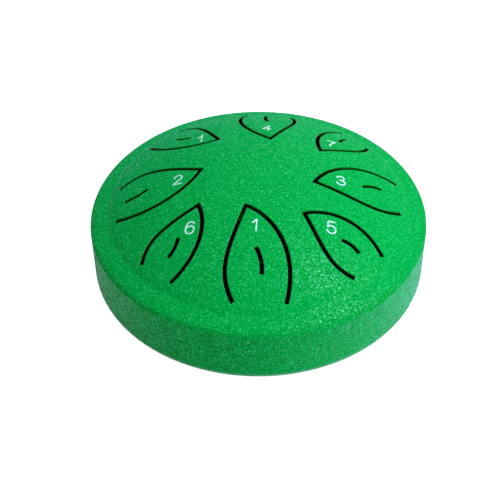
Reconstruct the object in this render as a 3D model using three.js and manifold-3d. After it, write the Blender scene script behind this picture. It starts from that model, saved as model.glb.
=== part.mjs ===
// Small steel tongue drum, the size that sits on a lap or a table.
// One sheet of steel is drawn into a cup: a domed top, a sloping rim and a straight wall. Eight
// leaf-shaped tongues are cut in the dome. Each stays joined to the sheet along its wide root and
// sounds when it is struck, and a short slit near the root tunes it.
// A pressed base plate closes the cup from below. It has a sound hole with a turned-up collar and
// stands on four rubber feet, each held by a screw, a washer and a nut.
// Millimetres, +Z up. The origin is on the ground under the middle of the drum, and the player
// sits on the -Y side.

import * as THREE from 'three';
import { mergeVertices, toCreasedNormals } from 'three/addons/utils/BufferGeometryUtils.js';
import Module from 'manifold-3d';

// Cup
const CUP_RADIUS = 77.5; // outside of the wall
const CUP_SHEET = 1.2; // thickness of the steel
const WALL_HEIGHT = 24; // straight part of the wall
const WALL_LIP = 0.6; // bevel of the wall's lower outer edge
const RIM_BEND_INSIDE = 1.4; // bend between the rim and the wall, inside the sheet
const RIM_WIDTH = 9.5; // from the dome's edge to the outside of the wall, measured level
const NECK_BEND = 7; // hollow bend between the dome and the rim, on the outside
const NECK_TURN = 7.2; // degrees by which the neck flattens the sheet
const DOME_RISE = 20.9; // top of the dome above its own edge

// Tongues
const KERF = 1.9; // width of every cut
const ROOT_INSET = 3.6; // from the dome's edge in to the line where the tongues are joined

// Each tongue: its place round the drum in degrees from +X, its tip's distance from the drum's
// axis, its breadth as a share of its length, how far its tip stands off its own line as a share of
// its breadth, and its slit's middle and length as shares of the length from tip to root. A longer
// tongue sounds lower.
const TONGUES = [
  { note: 'one', turn: -90.5, tip: 21.6, breadth: 0.644, lean: 0.18, slitAt: 0.615, slitLength: 0.274 },
  { note: 'five', turn: -43.3, tip: 31.4, breadth: 0.693, lean: 0.163, slitAt: 0.686, slitLength: 0.252 },
  { note: 'three', turn: 1.2, tip: 25.1, breadth: 0.629, lean: 0.216, slitAt: 0.675, slitLength: 0.222 },
  { note: 'seven', turn: 44.7, tip: 34.9, breadth: 0.666, lean: 0.288, slitAt: 0.683, slitLength: 0.244 },
  { note: 'four', turn: 81.7, tip: 27, breadth: 0.703, lean: 0.058, slitAt: 0.765, slitLength: 0.33 },
  { note: 'high one', turn: 137.6, tip: 32.8, breadth: 0.733, lean: 0.34, slitAt: 0.586, slitLength: 0.224 },
  { note: 'two', turn: 180.3, tip: 25.9, breadth: 0.681, lean: 0.139, slitAt: 0.771, slitLength: 0.281 },
  { note: 'six', turn: 229.6, tip: 31.3, breadth: 0.641, lean: 0.362, slitAt: 0.643, slitLength: 0.267 },
];

// The leaf that all tongues share, as shares of length (from the tip) and of breadth
const LEAF_FULL_SIDE = [[0, 0], [0.158, 0.495], [0.554, 0.848], [1, 0.652]];
const LEAF_FLAT_SIDE = [[0, 0], [0.523, -0.266], [0.704, -0.432], [1, -0.164]];
const SLIT_BOW = [0.169, 0.293, 0.268]; // breadth shares of the slit's start, bow and end

// Base plate
const PLATE_SHEET = 1.0; // thickness of the steel
const PLATE_FIT = 0.3; // clearance between the flange and the cup's wall
const PLATE_RECESS = 7; // top of the plate above the wall's lower edge
const PLATE_BEND_INSIDE = 1.4; // bend between plate and flange, inside the sheet
const FLANGE_SETBACK = 0.6; // flange's edge above the wall's lower edge
const HOLE_RADIUS = 17; // sound hole, inside the collar
const COLLAR_HEIGHT = 2; // straight part of the collar above its bend
const COLLAR_BEND_INSIDE = 1.2; // bend between plate and collar, inside the sheet

// Feet
const FOOT_COUNT = 4;
const FOOT_INSET = 11; // from the flange in to the foot
const FOOT_PROUD = 3; // foot below the wall's lower edge
const FOOT_WALL = 3.8; // rubber round the pocket that hides the screw's head
const FOOT_TAPER = 0.8; // smaller radius at the ground by this much
const FOOT_EDGE = 0.8; // bevel round the foot's two ends
const POCKET_FIT = 0.7; // clearance round the washer in the pocket
const HEAD_DEPTH = 1.4; // screw's head above the ground
const SEAT = 0.3; // free space between pieces that rest on each other

// Fasteners, M3
const SCREW_RADIUS = 1.5;
const SCREW_FIT = 0.3; // clearance round the screw in every hole
const SCREW_PROUD = 1; // screw's end above the nut
const SCREW_POINT = 0.3; // bevel of the screw's end
const HEAD_OVERHANG = 1.3; // head beyond the screw's shank
const HEAD_HEIGHT = 2;
const HEAD_CROWN = 1; // bevel that stands for the head's rounding
const WASHER_OVERHANG = 2; // washer beyond the screw's shank
const WASHER_THICKNESS = 0.5;
const NUT_WALL = 1.25; // from the shank to a flat of the nut
const NUT_HEIGHT = 2.4;
const NUT_SIDES = 6;

// Facets
const CUP_SEGMENTS = 80;
const DOME_STEPS = 9;
const NECK_STEPS = 2;
const BEND_STEPS = 4;
const PLATE_SEGMENTS = 64;
const FOOT_SEGMENTS = 28;
const SCREW_SEGMENTS = 16;
const LEAF_STEPS = 12;
const SLIT_STEPS = 4;

// Directions in a profile, in degrees from straight out
const OUT = 0;
const UP = 90;
const DOWN = -90;
const IN = -180;

const CUTTER_REACH = 5; // how far a cutting solid runs past what it cuts

const manifold = await Module();
manifold.setup();

const { degToRad, radToDeg } = THREE.MathUtils;

// Sizes that follow
const innerRadius = CUP_RADIUS - CUP_SHEET;
const domeEdge = CUP_RADIUS - RIM_WIDTH;
const domeRadius = (domeEdge ** 2 + DOME_RISE ** 2) / (2 * DOME_RISE);
const domeSlope = radToDeg(Math.asin(domeEdge / domeRadius));
const rimSlope = domeSlope - NECK_TURN;
const rootRadius = domeEdge - ROOT_INSET;
const flangeRadius = innerRadius - PLATE_FIT;
const screwHole = SCREW_RADIUS + SCREW_FIT; // every hole that a screw passes
const washerRadius = SCREW_RADIUS + WASHER_OVERHANG;
const pocketRadius = washerRadius + POCKET_FIT;
const footRadius = pocketRadius + FOOT_WALL;
const footCircle = flangeRadius - PLATE_SHEET - FOOT_INSET - footRadius;

// Levels, from the ground up
const wallFoot = FOOT_PROUD;
const plateTop = wallFoot + PLATE_RECESS;
const plateUnder = plateTop - PLATE_SHEET;
const headTop = HEAD_DEPTH + HEAD_HEIGHT;
const washerFoot = headTop + SEAT;
const washerTop = washerFoot + WASHER_THICKNESS;
const pocketTop = washerTop + SEAT;
const footTop = plateUnder - SEAT;
const nutFoot = plateTop + SEAT;
const screwEnd = nutFoot + NUT_HEIGHT + SCREW_PROUD;

// A closed geometry becomes a solid that can be cut, and the other way round
function toSolid(geometry) {
  const bare = geometry.clone();
  bare.deleteAttribute('normal');
  bare.deleteAttribute('uv');
  const merged = mergeVertices(bare);
  return new manifold.Manifold(new manifold.Mesh({
    numProp: 3,
    vertProperties: new Float32Array(merged.attributes.position.array),
    triVerts: new Uint32Array(merged.index.array),
  }));
}

function toGeometry(solid) {
  const mesh = solid.getMesh();
  const geometry = new THREE.BufferGeometry();
  geometry.setAttribute('position', new THREE.BufferAttribute(mesh.vertProperties, 3));
  geometry.setIndex(new THREE.BufferAttribute(mesh.triVerts, 1));
  return geometry;
}

// Solid of revolution about Z from [radius, height] points, which may run either way round.
// A profile that leaves the axis returns to it, and any other is closed here on its first point.
function revolve(profile, segments) {
  const points = profile.map(([radius, height]) => new THREE.Vector2(radius, height));
  if (THREE.ShapeUtils.area(points) < 0) points.reverse();
  if (points[0].x > 0) points.push(points[0].clone());
  const geometry = new THREE.LatheGeometry(points, segments);
  geometry.rotateX(Math.PI / 2);
  return toSolid(geometry);
}

// Points on an arc in a profile. The angles are directions as listed above.
function arc(centreRadius, centreHeight, radius, from, to, steps) {
  return Array.from({ length: steps + 1 }, (_, i) => {
    const angle = degToRad(from + ((to - from) * i) / steps);
    return [centreRadius + radius * Math.cos(angle), centreHeight + radius * Math.sin(angle)];
  });
}

// Where the cup's two bends and its dome are centred. The rim is straight between the bends.
function cupCentres() {
  const slope = degToRad(rimSlope);
  const steep = degToRad(domeSlope);
  const rimBend = RIM_BEND_INSIDE + CUP_SHEET;
  const rim = { r: CUP_RADIUS - rimBend, z: wallFoot + WALL_HEIGHT };
  const neckRadius = domeEdge + NECK_BEND * Math.sin(steep);
  const rimRun = rim.r + rimBend * Math.sin(slope) - (neckRadius - NECK_BEND * Math.sin(slope));
  const rimTop = rim.z + rimBend * Math.cos(slope) + rimRun * Math.tan(slope);
  const neck = { r: neckRadius, z: rimTop + NECK_BEND * Math.cos(slope) };
  const dome = { r: 0, z: neck.z - (NECK_BEND + domeRadius) * Math.cos(steep) };
  return { rim, neck, dome };
}

// One face of the cup's sheet, from the top of the dome to the top of the wall. The inner face
// is the same line moved in by the thickness of the sheet.
function cupFace(inset, domeSteps, neckSteps, bendSteps) {
  const { rim, neck, dome } = cupCentres();
  const rimBend = RIM_BEND_INSIDE + CUP_SHEET - inset;
  const domeLine = arc(dome.r, dome.z, domeRadius - inset, UP, UP - domeSlope, domeSteps);
  domeLine[0][0] = 0;
  return [
    ...domeLine,
    ...arc(neck.r, neck.z, NECK_BEND + inset, DOWN - domeSlope, DOWN - rimSlope, neckSteps).slice(1),
    ...arc(rim.r, rim.z, rimBend, UP - rimSlope, OUT, bendSteps),
  ];
}

// Cutting ribbon of one kerf's width along a line of points, mitred at its corners
function ribbon(line) {
  const half = KERF / 2;
  const sides = [1, -1].map((side) => line.map((point, i) => {
    const before = line[Math.max(i - 1, 0)];
    const after = line[Math.min(i + 1, line.length - 1)];
    const normalIn = i > 0 ? normalOf(before, point) : normalOf(point, after);
    const normalOut = i < line.length - 1 ? normalOf(point, after) : normalIn;
    const mitre = normalIn.clone().add(normalOut).multiplyScalar(half / (1 + normalIn.dot(normalOut)));
    return point.clone().addScaledVector(mitre, side);
  }));
  return new THREE.Shape([...sides[0], ...sides[1].reverse()]);
}

function normalOf(from, to) {
  const along = to.clone().sub(from).normalize();
  return new THREE.Vector2(-along.y, along.x);
}

// Place of a leaf point on the drum seen from above, from its shares of length and breadth
function onDrum(tongue, alongShare, acrossShare) {
  const length = rootRadius - tongue.tip;
  const along = tongue.tip + length * alongShare;
  const across = length * tongue.breadth * (acrossShare - tongue.lean);
  return new THREE.Vector2(along, across).rotateAround(new THREE.Vector2(), degToRad(tongue.turn));
}

// The cut that frees a tongue: down one side of the leaf, round its tip and down the other
function leafLine(tongue) {
  const [full, flat] = [LEAF_FULL_SIDE, LEAF_FLAT_SIDE].map((controls) => {
    const curve = new THREE.CubicBezierCurve(...controls.map(([u, v]) => new THREE.Vector2(u, v)));
    return curve.getPoints(LEAF_STEPS).map(({ x, y }) => onDrum(tongue, x, y));
  });
  return [...full.reverse(), ...flat.slice(1)];
}

function slitLine(tongue) {
  const controls = SLIT_BOW.map((across, i) => {
    return new THREE.Vector2(tongue.slitAt + ((i - 1) * tongue.slitLength) / 2, across);
  });
  const curve = new THREE.QuadraticBezierCurve(...controls);
  return curve.getPoints(SLIT_STEPS).map(({ x, y }) => onDrum(tongue, x, y));
}

// Upright cutter through the dome's sheet
function domeCutter(line) {
  const { dome } = cupCentres();
  const top = dome.z + domeRadius;
  const depth = DOME_RISE + CUP_SHEET + 2 * CUTTER_REACH;
  const geometry = new THREE.ExtrudeGeometry(ribbon(line), { depth, bevelEnabled: false });
  geometry.translate(0, 0, top + CUTTER_REACH - depth);
  return toSolid(geometry);
}

function cupGeometry() {
  const profile = [
    ...cupFace(0, DOME_STEPS, NECK_STEPS, BEND_STEPS),
    [CUP_RADIUS, wallFoot + WALL_LIP],
    [CUP_RADIUS - WALL_LIP, wallFoot],
    [innerRadius, wallFoot],
    ...cupFace(CUP_SHEET, DOME_STEPS - 1, NECK_STEPS - 1, BEND_STEPS / 2).reverse(),
  ];
  const cuts = TONGUES.flatMap((tongue) => [leafLine(tongue), slitLine(tongue)]);
  const cup = cuts.reduce((solid, line) => solid.subtract(domeCutter(line)), revolve(profile, CUP_SEGMENTS));
  return toGeometry(cup);
}

// Base plate: a flange turned down inside the wall, a level plate, and a collar turned up round
// the sound hole
function plateProfile() {
  const flangeFoot = wallFoot + FLANGE_SETBACK;
  const flangeBend = PLATE_BEND_INSIDE + PLATE_SHEET;
  const collarBend = COLLAR_BEND_INSIDE + PLATE_SHEET;
  const flangeCentre = [flangeRadius - flangeBend, plateTop - flangeBend];
  const collarCentre = [HOLE_RADIUS + collarBend, plateTop + COLLAR_BEND_INSIDE];
  const collarTop = plateTop + COLLAR_BEND_INSIDE + COLLAR_HEIGHT;
  return [
    [flangeRadius, flangeFoot],
    ...arc(...flangeCentre, flangeBend, OUT, UP, BEND_STEPS),
    ...arc(...collarCentre, COLLAR_BEND_INSIDE, DOWN, IN, BEND_STEPS / 2),
    [HOLE_RADIUS + PLATE_SHEET, collarTop],
    [HOLE_RADIUS, collarTop],
    ...arc(...collarCentre, collarBend, IN, DOWN, BEND_STEPS),
    ...arc(...flangeCentre, PLATE_BEND_INSIDE, UP, OUT, BEND_STEPS / 2),
    [flangeRadius - PLATE_SHEET, flangeFoot],
  ];
}

function footPlaces() {
  return Array.from({ length: FOOT_COUNT }, (_, i) => {
    const angle = (2 * Math.PI * (i + 0.5)) / FOOT_COUNT;
    return new THREE.Vector3(footCircle * Math.cos(angle), footCircle * Math.sin(angle), 0);
  });
}

function plateGeometry() {
  const depth = PLATE_SHEET + 2 * CUTTER_REACH;
  const drill = new THREE.CylinderGeometry(screwHole, screwHole, depth, SCREW_SEGMENTS);
  drill.rotateX(Math.PI / 2);
  const plate = footPlaces().reduce((solid, place) => {
    const hole = drill.clone().translate(place.x, place.y, plateUnder + PLATE_SHEET / 2);
    return solid.subtract(toSolid(hole));
  }, revolve(plateProfile(), PLATE_SEGMENTS));
  return toGeometry(plate);
}

// Foot and fasteners, each modelled round its own axis with the ground at zero
function footGeometry() {
  const groundRadius = footRadius - FOOT_TAPER;
  return toGeometry(revolve([
    [screwHole, footTop],
    [screwHole, pocketTop],
    [pocketRadius, pocketTop],
    [pocketRadius, 0],
    [groundRadius - FOOT_EDGE, 0],
    [groundRadius, FOOT_EDGE],
    [footRadius, footTop - FOOT_EDGE],
    [footRadius - FOOT_EDGE, footTop],
  ], FOOT_SEGMENTS));
}

function screwGeometry() {
  const headRadius = SCREW_RADIUS + HEAD_OVERHANG;
  return toGeometry(revolve([
    [0, HEAD_DEPTH],
    [headRadius - HEAD_CROWN, HEAD_DEPTH],
    [headRadius, HEAD_DEPTH + HEAD_CROWN],
    [headRadius, headTop],
    [SCREW_RADIUS, headTop],
    [SCREW_RADIUS, screwEnd - SCREW_POINT],
    [SCREW_RADIUS - SCREW_POINT, screwEnd],
    [0, screwEnd],
  ], SCREW_SEGMENTS));
}

function washerGeometry() {
  return toGeometry(revolve([
    [screwHole, washerFoot],
    [washerRadius, washerFoot],
    [washerRadius, washerTop],
    [screwHole, washerTop],
  ], SCREW_SEGMENTS));
}

function nutGeometry() {
  const flat = SCREW_RADIUS + NUT_WALL;
  const corner = new THREE.Vector2(flat / Math.cos(Math.PI / NUT_SIDES), 0);
  const corners = Array.from({ length: NUT_SIDES }, (_, i) => {
    return corner.clone().rotateAround(new THREE.Vector2(), (2 * Math.PI * i) / NUT_SIDES);
  });
  const outline = new THREE.Shape(corners);
  outline.holes.push(new THREE.Path().absarc(0, 0, screwHole, 0, 2 * Math.PI, true));
  const options = { depth: NUT_HEIGHT, bevelEnabled: false, curveSegments: SCREW_SEGMENTS / 2 };
  const geometry = new THREE.ExtrudeGeometry(outline, options);
  geometry.translate(0, 0, nutFoot);
  return toGeometry(toSolid(geometry));
}

// Finishes
const coatedSteel = { color: 0x0fa457, roughness: 0.5, metalness: 0 };
const rubber = { color: 0x1b1b1c, roughness: 0.85, metalness: 0 };
const zincSteel = { color: 0xb9bcc0, roughness: 0.35, metalness: 1 };

const CREASE = degToRad(30); // edges sharper than this are shown sharp

function piece(name, geometry, finish) {
  const material = new THREE.MeshStandardMaterial(finish);
  const mesh = new THREE.Mesh(toCreasedNormals(geometry, CREASE), material);
  mesh.name = name;
  return mesh;
}

const drum = new THREE.Group();
drum.add(piece('top_shell', cupGeometry(), coatedSteel));
drum.add(piece('base_plate', plateGeometry(), coatedSteel));

footPlaces().forEach((place, i) => {
  const foot = new THREE.Group();
  foot.position.copy(place);
  foot.add(piece(`foot_${i + 1}`, footGeometry(), rubber));
  foot.add(piece(`foot_screw_${i + 1}`, screwGeometry(), zincSteel));
  foot.add(piece(`foot_washer_${i + 1}`, washerGeometry(), zincSteel));
  foot.add(piece(`foot_nut_${i + 1}`, nutGeometry(), zincSteel));
  drum.add(foot);
});

export default drum;
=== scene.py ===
# The finish of a small steel tongue drum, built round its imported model.
# The drum's sheet metal is meshed finely here: a domed cup with eight leaf-shaped tongues, every
# cut with a softly coated edge, and a pressed base plate. Feet and fasteners follow, then the
# printed numerals, the finishes, and a plain bright studio.

import math

import bmesh
import bpy
import numpy as np
from mathutils import Matrix, Vector
from mathutils.geometry import delaunay_2d_cdt
from mathutils.kdtree import KDTree


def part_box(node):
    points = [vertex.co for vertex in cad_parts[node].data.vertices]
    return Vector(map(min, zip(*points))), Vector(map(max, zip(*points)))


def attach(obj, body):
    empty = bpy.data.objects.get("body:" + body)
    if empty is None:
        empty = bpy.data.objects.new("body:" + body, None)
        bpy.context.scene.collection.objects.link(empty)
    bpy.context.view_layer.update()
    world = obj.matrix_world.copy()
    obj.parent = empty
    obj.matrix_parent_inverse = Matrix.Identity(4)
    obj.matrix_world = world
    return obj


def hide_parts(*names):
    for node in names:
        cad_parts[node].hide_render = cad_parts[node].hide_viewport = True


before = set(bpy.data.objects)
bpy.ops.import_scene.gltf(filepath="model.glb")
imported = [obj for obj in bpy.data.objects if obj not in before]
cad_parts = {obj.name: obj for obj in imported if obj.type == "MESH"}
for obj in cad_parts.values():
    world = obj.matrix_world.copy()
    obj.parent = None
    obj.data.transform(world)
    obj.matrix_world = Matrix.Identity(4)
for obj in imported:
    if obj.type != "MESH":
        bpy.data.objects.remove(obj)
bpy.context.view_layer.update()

MM = 0.001  # sizes in this script are millimetres, and every mesh is written in metres


def span(node):
    """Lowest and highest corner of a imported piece, in millimetres."""
    return tuple(np.array(corner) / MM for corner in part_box(node))


# Cup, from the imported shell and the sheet's own sizes
cup_low, cup_high = span("top_shell")
CUP_RADIUS = cup_high[0]
WALL_FOOT = cup_low[2]
CUP_SHEET = 1.2
WALL_HEIGHT = 24
WALL_LIP = 0.6  # rounding of the wall's lower edge, outside
WALL_LIP_INSIDE = 0.3
RIM_BEND_INSIDE = 1.4
RIM_WIDTH = 9.5
NECK_BEND = 7
NECK_TURN = math.radians(7.2)
DOME_RISE = 20.9
GROOVE_RADIUS = CUP_RADIUS - 8.2  # middle of the shallow groove pressed in along the neck
GROOVE_DEPTH = 0.36
GROOVE_IN, GROOVE_OUT = 2.4, 4.0  # how far the groove reaches inward and outward

dome_edge = CUP_RADIUS - RIM_WIDTH
dome_radius = (dome_edge**2 + DOME_RISE**2) / (2 * DOME_RISE)
dome_centre = cup_high[2] - dome_radius
dome_slope = math.asin(dome_edge / dome_radius)
rim_slope = dome_slope - NECK_TURN

# Tongues
KERF = 1.9  # width of every cut
ROOT_INSET = 3.6  # from the dome's edge in to the tongues' roots
# Each tongue has its numeral, its place round the drum in degrees, its tip's distance from the
# drum's axis, its breadth as a share of its length, how far its tip stands off its own line as a
# share of its breadth, and its slit's middle and length as shares of its length.
TONGUES = [
    ("one", -90.5, 21.6, 0.644, 0.18, 0.615, 0.274),
    ("five", -43.3, 31.4, 0.693, 0.163, 0.686, 0.252),
    ("three", 1.2, 25.1, 0.629, 0.216, 0.675, 0.222),
    ("seven", 44.7, 34.9, 0.666, 0.288, 0.683, 0.244),
    ("four", 81.7, 27, 0.703, 0.058, 0.765, 0.33),
    ("high_one", 137.6, 32.8, 0.733, 0.34, 0.586, 0.224),
    ("two", 180.3, 25.9, 0.681, 0.139, 0.771, 0.281),
    ("six", 229.6, 31.3, 0.641, 0.362, 0.643, 0.267),
]
# All tongues share one leaf, given in shares of length from the tip and of breadth.
LEAF_FULL_SIDE = [(0, 0), (0.158, 0.495), (0.554, 0.848), (1, 0.652)]
LEAF_FLAT_SIDE = [(0, 0), (0.523, -0.266), (0.704, -0.432), (1, -0.164)]
SLIT_BOW = [0.169, 0.293, 0.268]  # breadth shares of the slit's start, bow and end

# Base plate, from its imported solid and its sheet
plate_low, plate_high = span("base_plate")
FLANGE_RADIUS = plate_high[0]
PLATE_SHEET = 1.0
PLATE_EDGE = 0.3  # rounding of the flange's and the collar's edges
PLATE_BEND_INSIDE = 1.4
HOLE_RADIUS = 17
COLLAR_HEIGHT = 2
COLLAR_BEND_INSIDE = 1.2
SCREW_HOLE = 1.8

# Foot, washer and nut
FOOT_TAPER = 0.8  # how much smaller a foot's radius is at the ground
POCKET_FIT = 0.7  # clearance round the washer in the foot's pocket
POCKET_OVER = 0.3  # from the washer up to the pocket's end
NUT_FACE = 0.95  # radius of a nut's flat ends, as a share of half its width
NUT_SLOPE = math.radians(30)  # fall of its corners outside that radius
NUT_SINK = 0.35  # countersink of its bore

# Screw
SCREW_RADIUS = 1.5
HEAD_HEIGHT = 2.0
HEAD_FLAT = 0.55  # flat middle of the head, as a share of its radius
HEAD_CROWN = 0.9  # height of the rounding outside the flat middle
HEAD_EDGE = 0.15  # bevel of the head's edge at the washer
THREAD_PITCH = 0.5
THREAD_DEPTH = 0.27
THREAD_START = 1.0  # from the head to the first turn
THREAD_TURN = ((0, 0), (0.12, 0), (0.5, THREAD_DEPTH), (0.62, THREAD_DEPTH))  # pitch share, depth
CROSS_MOUTH = (-0.2, 1.5, 0.42)  # height over the head's face, reach and half width of an arm
CROSS_FLOOR = (1.1, 0.75, 0.3)

# Fineness of the meshes
CUP_SEGMENTS = 320
PLATE_SEGMENTS = 240
FOOT_SEGMENTS = 96
FASTENER_SEGMENTS = 72  # a multiple of 6, so that the nuts have their corners
HOLE_SEGMENTS = 48
DOT_SEGMENTS = 20
DOME_PITCH, PLATE_PITCH = 2.0, 6.0  # between the points of the dome's and the plate's net
NET_INSET = 0.6  # from the dome's edge in to the net's own edge, outside every cut
PLATE_NET_INSET = 0.3  # from the plate's two bends to the edges of its net
CUT_PITCH = 0.7  # between the points along a cut
TIP_REACH = 2.0  # straight start of both cuts at a tongue's tip
EDGE_ROUND = 0.28  # radius of the coated edge of every cut
EDGE_STEPS = 3
BEND_STEPS = 10
DOME_END_STEPS, NECK_STEPS, GROOVE_STEPS = 3, 3, 10
LIP_STEPS, LIP_INSIDE_STEPS = 6, 4
CROWN_TURN, CROWN_POINTS = 78, 9  # degrees of the screw head's rounding, and points along it
LEAF_STEPS, SLIT_STEPS, STROKE_STEPS = 80, 40, 10  # along a curve, before any even spacing
STROKE_END = range(20, 161, 20)  # degrees of the points round a printed line's end
NEAR = 1e-5  # points nearer than this are one
SHARP = 32  # degrees, edges sharper than this are shown sharp on the fasteners and the print

# Numbers of the finishes of a coated sheet. The cut walls' and the inside's finishes are dark painted
# shade.
WALL, TOP, NECK, CUT_EDGE, CUT_WALL, INSIDE = range(6)

# Numerals
# Each one has the plan place of its middle, and its turn in degrees.
NUMERAL_PLACES = {
    "one": (-1.3, -32.1, -3),
    "five": (32.1, -29.4, 1),
    "three": (37.2, -0.6, 2),
    "seven": (34.1, 29.4, -4),
    "four": (3.7, 38.3, -2),
    "high_one": (-27.9, 31.2, -2),
    "two": (-36.2, -0.9, -1),
    "six": (-29.3, -30.5, -6),
}
STROKE = 0.64  # width of the printed line
INK = 0.05  # height of the print above the coat
INK_BITE = 0.03  # how far the print reaches into the coat
DOT_RADIUS = 0.55
DOT_RISE = 4.4  # of the high note's dot above its numeral's middle
# A stroke is one Bezier curve or several that run on, about the numeral's middle.
ONE = [[[(-0.92, 1.18), (0.92, 2.87)]], [[(0.92, 2.87), (0.92, -2.87)]]]
STROKES = {
    "one": ONE,
    "high_one": ONE,
    "two": [
        [[(-1.7, 1.25), (-1.5, 2.3), (-0.75, 2.87), (0.1, 2.87)],
         [(0.1, 2.87), (1.15, 2.87), (1.8, 2.2), (1.8, 1.3)],
         [(1.8, 1.3), (1.8, -0.2), (-0.9, -1.1), (-1.85, -2.8)]],
        [[(-1.85, -2.8), (1.85, -2.8)]],
    ],
    "three": [
        [[(-1.6, 1.7), (-1.4, 2.5), (-0.7, 2.87), (0, 2.87)],
         [(0, 2.87), (1.0, 2.87), (1.6, 2.3), (1.6, 1.5)],
         [(1.6, 1.5), (1.6, 0.7), (0.9, 0.2), (-0.35, 0.2)]],
        [[(-0.35, 0.2), (1.1, 0.2), (1.85, -0.5), (1.85, -1.3)],
         [(1.85, -1.3), (1.85, -2.25), (1.1, -2.87), (0, -2.87)],
         [(0, -2.87), (-0.95, -2.87), (-1.65, -2.4), (-1.85, -1.5)]],
    ],
    "four": [[[(0.8, 2.87), (-1.85, -1.05)]], [[(-1.85, -1.05), (1.85, -1.05)]],
             [[(0.8, 2.87), (0.8, -2.87)]]],
    "five": [
        [[(-1.2, 2.87), (1.5, 2.87)]], [[(-1.2, 2.87), (-1.6, 0.1)]],
        [[(-1.6, 0.1), (-1.15, 0.6), (-0.6, 0.85), (0, 0.85)],
         [(0, 0.85), (1.1, 0.85), (1.85, 0.1), (1.85, -1.0)],
         [(1.85, -1.0), (1.85, -2.1), (1.1, -2.87), (0, -2.87)],
         [(0, -2.87), (-0.95, -2.87), (-1.65, -2.3), (-1.85, -1.4)]],
    ],
    "six": [
        [[(1.6, 2.0), (1.35, 2.55), (0.85, 2.87), (0.25, 2.87)],
         [(0.25, 2.87), (-1.2, 2.87), (-1.85, 1.3), (-1.85, -0.7)],
         [(-1.85, -0.7), (-1.85, -2.0), (-1.1, -2.87), (0, -2.87)]],
        [[(0, -2.87), (1.1, -2.87), (1.85, -2.1), (1.85, -1.0)],
         [(1.85, -1.0), (1.85, 0.1), (1.1, 0.8), (0.1, 0.8)],
         [(0.1, 0.8), (-0.9, 0.8), (-1.75, 0.1), (-1.85, -0.9)]],
    ],
    "seven": [[[(-1.85, 2.87), (1.85, 2.87)]],
              [[(1.85, 2.87), (0.3, 1.0), (-0.6, -0.9), (-0.7, -2.87)]]],
}

# Studio, in metres
FLOOR_SIZE = 6.0
FLOOR_GLOW = 0.92
FLOOR_PAINTED_SHADOW, FLOOR_PAINTED_SHADOW_END = 0.85, 0.94  # where the floor's painted shadow under the drum starts to fade, and is gone, in shares of the cup's radius
ROOM_LIGHT = 0.31
# A soft box has its place, its size, the share of full exposure that it gives a white surface
# facing it, and its colour.
SOFT_BOXES = {
    "top_box": ((0.0, 0.15, 0.9), 0.9, 0.12, (1, 1, 0.75)),
    "high_box": ((0.46, -0.1, 0.88), 0.3, 0.33, (0.9, 1, 2.0)),
    "right_box": ((0.8, -0.29, 0.55), 0.6, 0.52, (1, 1, 1.12)),
    "back_box": ((0.1, 0.85, 0.5), 0.6, 0.14, (0.9, 1, 1.4)),
}

# Camera
CAMERA_SENSOR, CAMERA_LENS = 36, 84.5155
CAMERA_RISE = 43.645  # degrees above the horizon
CAMERA_SIDESTEP = 1.33  # degrees round the drum
CAMERA_ROLL = -0.605  # degrees
CAMERA_RIGHT, CAMERA_DOWN, CAMERA_DISTANCE = 4.03, 1.124, 560.929


class Skin:
    """A closed skin under construction: points, the direction each one faces, and faces, each
    with the number of its finish."""

    def __init__(self):
        self.points, self.directions, self.faces, self.finishes = [], [], [], []
        self.finish = 0

    def add(self, points, directions):
        """Adds points with the directions they face, and gives their numbers."""
        start = len(self.points)
        self.points.extend(points)
        self.directions.extend(directions)
        return list(range(start, len(self.points)))

    def cover(self, faces):
        """Adds faces in the finish now in use."""
        faces = list(faces)
        self.faces.extend(faces)
        self.finishes.extend([self.finish] * len(faces))

    def band(self, loop, next_loop):
        """Joins two closed loops of equal count with a band of quads."""
        turned, next_turned = loop[1:] + loop[:1], next_loop[1:] + next_loop[:1]
        self.cover(zip(loop, turned, next_turned, next_loop))


def arc(centre, radius, start, end, steps, hollow=False):
    """Profile points (radius, height) on an arc and the direction the surface faces there."""
    angles = np.radians(np.linspace(start, end, steps + 1))
    out = np.column_stack([np.cos(angles), np.sin(angles)])
    return np.hstack([np.array(centre) + radius * out, -out if hollow else out])


def turn_loops(skin, profile, segments):
    """One loop of points round the axis for each profile row, all in the skin."""
    angles = 2 * math.pi * np.arange(segments) / segments
    around = np.column_stack([np.cos(angles), np.sin(angles)])
    loops = []
    for radius, height, out, up in profile:
        points = np.column_stack([around * radius, np.full(segments, height)])
        loops.append(skin.add(points, np.column_stack([around * out, np.full(segments, up)])))
    return loops


def turned_skin(profile, segments):
    """Closed skin of a turned piece. The profile closes on itself, or runs from axis to axis."""
    skin = Skin()
    profile = np.array(profile, float)
    if profile[0][0] > 0:
        loops = turn_loops(skin, profile, segments)
        loops.append(loops[0])
    else:
        loops = turn_loops(skin, profile[1:-1], segments)
        for loop, end in ((loops[0], profile[0]), (loops[-1], profile[-1])):
            tip, = skin.add([(0, 0, end[1])], [(0, 0, end[3])])
            skin.cover((tip, *pair) for pair in zip(loop, loop[1:] + loop[:1]))
    for loop, next_loop in zip(loops, loops[1:]):
        skin.band(loop, next_loop)
    return skin


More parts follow.
